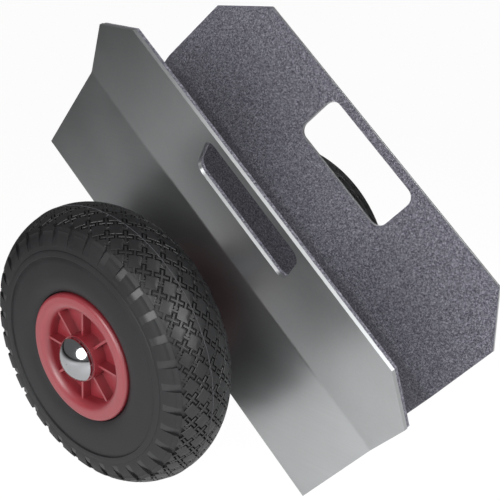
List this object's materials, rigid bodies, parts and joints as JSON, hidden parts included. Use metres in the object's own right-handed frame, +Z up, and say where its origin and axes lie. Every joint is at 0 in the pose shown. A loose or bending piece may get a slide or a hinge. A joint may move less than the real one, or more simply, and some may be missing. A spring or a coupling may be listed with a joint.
{
  "type": "panel cart",
  "caption": "Panel cart: felt-lined steel jaws rock on a wheeled carriage and close on the edge of a board; it lies tipped on its tyres and jaw ends.",
  "frame": {"origin": "on the floor, in the middle of the box around the cart as it lies tipped on its tyres and jaw ends", "axes": "+X towards the low end of the jaws, +Y to the left along the axle, +Z up"},
  "size_m": [0.4312, 0.3486, 0.4072],
  "materials": {
    "zinc_sheet": "zinc-plated sheet, satin",
    "felt": "mottled grey needle felt",
    "axle_steel": "drawn bar",
    "plated_steel": "zinc plated",
    "spring_steel": "blackened spring steel",
    "buffer_rubber": "moulded rubber",
    "cap_chrome": "bright chrome",
    "rim_plastic": "red moulded plastic, satin",
    "tyre_rubber": "black, matt",
    "cage_plastic": "natural plastic"
  },
  "bodies": {
    "carriage": {"axle": "axle_steel", "carriage_tray": "zinc_sheet", "left_axle_cap": "cap_chrome", "left_buffer_screws": "plated_steel", "left_inner_washer": "plated_steel", "left_outer_washer": "plated_steel", "left_pivot_rod": "axle_steel", "left_rod_clips": "spring_steel", "left_rod_washers": "plated_steel", "left_spacer_tube": "plated_steel", "left_star_washer": "spring_steel", "left_stop_buffers": "buffer_rubber", "right_axle_cap": "cap_chrome", "right_buffer_screws": "plated_steel", "right_inner_washer": "plated_steel", "right_outer_washer": "plated_steel", "right_pivot_rod": "axle_steel", "right_rod_clips": "spring_steel", "right_rod_washers": "plated_steel", "right_spacer_tube": "plated_steel", "right_star_washer": "spring_steel", "right_stop_buffers": "buffer_rubber"},
    "left_wheel": {"left_tyre": "tyre_rubber", "left_rim": "rim_plastic", "left_roller_cage": "cage_plastic", "left_rollers": "plated_steel"},
    "left_jaw": {"left_jaw_plate": "zinc_sheet", "left_felt_lining": "felt", "left_floor_fingers": "zinc_sheet"},
    "right_wheel": {"right_tyre": "tyre_rubber", "right_rim": "rim_plastic", "right_roller_cage": "cage_plastic", "right_rollers": "plated_steel"},
    "right_jaw": {"right_jaw_plate": "zinc_sheet", "right_felt_lining": "felt", "right_floor_fingers": "zinc_sheet"}
  },
  "joints": [
    {"name": "left_wheel_spin", "type": "hinge", "parent": "carriage", "child": "left_wheel", "pos_m": [-0.06215, 0.125, 0.13], "axis": [0, 1, 0], "continuous": true},
    {"name": "right_wheel_spin", "type": "hinge", "parent": "carriage", "child": "right_wheel", "pos_m": [-0.06215, -0.125, 0.13], "axis": [0, 1, 0], "continuous": true},
    {"name": "left_jaw_rock", "type": "hinge", "parent": "carriage", "child": "left_jaw", "pos_m": [-0.07257, 0.04494, 0.11786], "axis": [0.7586, 0, -0.6516], "range_deg": [0, 20.5]},
    {"name": "right_jaw_rock", "type": "hinge", "parent": "carriage", "child": "right_jaw", "pos_m": [-0.07257, -0.04494, 0.11786], "axis": [-0.7586, 0, 0.6516], "range_deg": [0, 20.5]}
  ]
}
